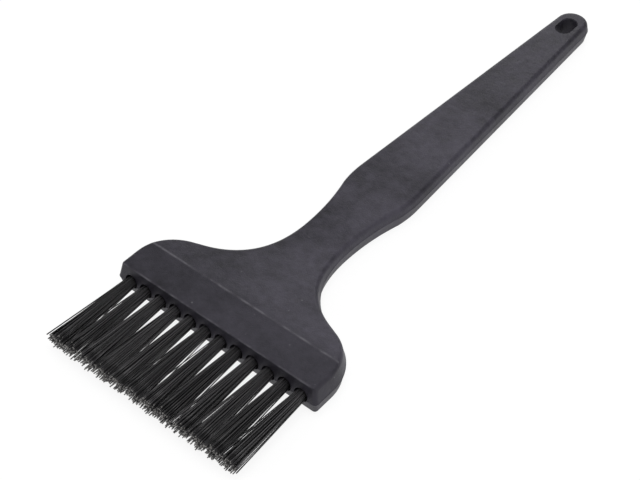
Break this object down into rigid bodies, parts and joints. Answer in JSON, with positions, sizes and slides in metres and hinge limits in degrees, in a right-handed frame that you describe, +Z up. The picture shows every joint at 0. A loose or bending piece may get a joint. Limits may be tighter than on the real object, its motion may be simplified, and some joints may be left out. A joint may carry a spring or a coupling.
{
  "type": "flat dusting brush",
  "caption": "Flat T-shaped black plastic dusting brush with a wide single-row bristle head, a tapering handle and an oval hanging hole, for sweeping fine debris or bees.",
  "frame": {"origin": "middle of the underside of the bounding box; the brush lies flat on its underside", "axes": "+Z up, +Y along the handle towards the hanging hole, bristles towards -Y, X across the head"},
  "size_m": [0.09, 0.2616, 0.0116],
  "materials": {
    "moulding": "matt dark grey-black moulded plastic, faintly cloudy",
    "filament": "black synthetic filament with a satin sheen",
    "anchor_wire": "flat drawn wire"
  },
  "bodies": {
    "root": {"handle": "moulding", "tuft_01": "filament", "tuft_02": "filament", "tuft_03": "filament", "tuft_04": "filament", "tuft_05": "filament", "tuft_06": "filament", "tuft_07": "filament", "tuft_08": "filament", "tuft_09": "filament", "tuft_10": "filament", "tuft_11": "filament", "tuft_12": "filament", "anchor_01": "anchor_wire", "anchor_02": "anchor_wire", "anchor_03": "anchor_wire", "anchor_04": "anchor_wire", "anchor_05": "anchor_wire", "anchor_06": "anchor_wire", "anchor_07": "anchor_wire", "anchor_08": "anchor_wire", "anchor_09": "anchor_wire", "anchor_10": "anchor_wire", "anchor_11": "anchor_wire", "anchor_12": "anchor_wire"}
  },
  "joints": []
}
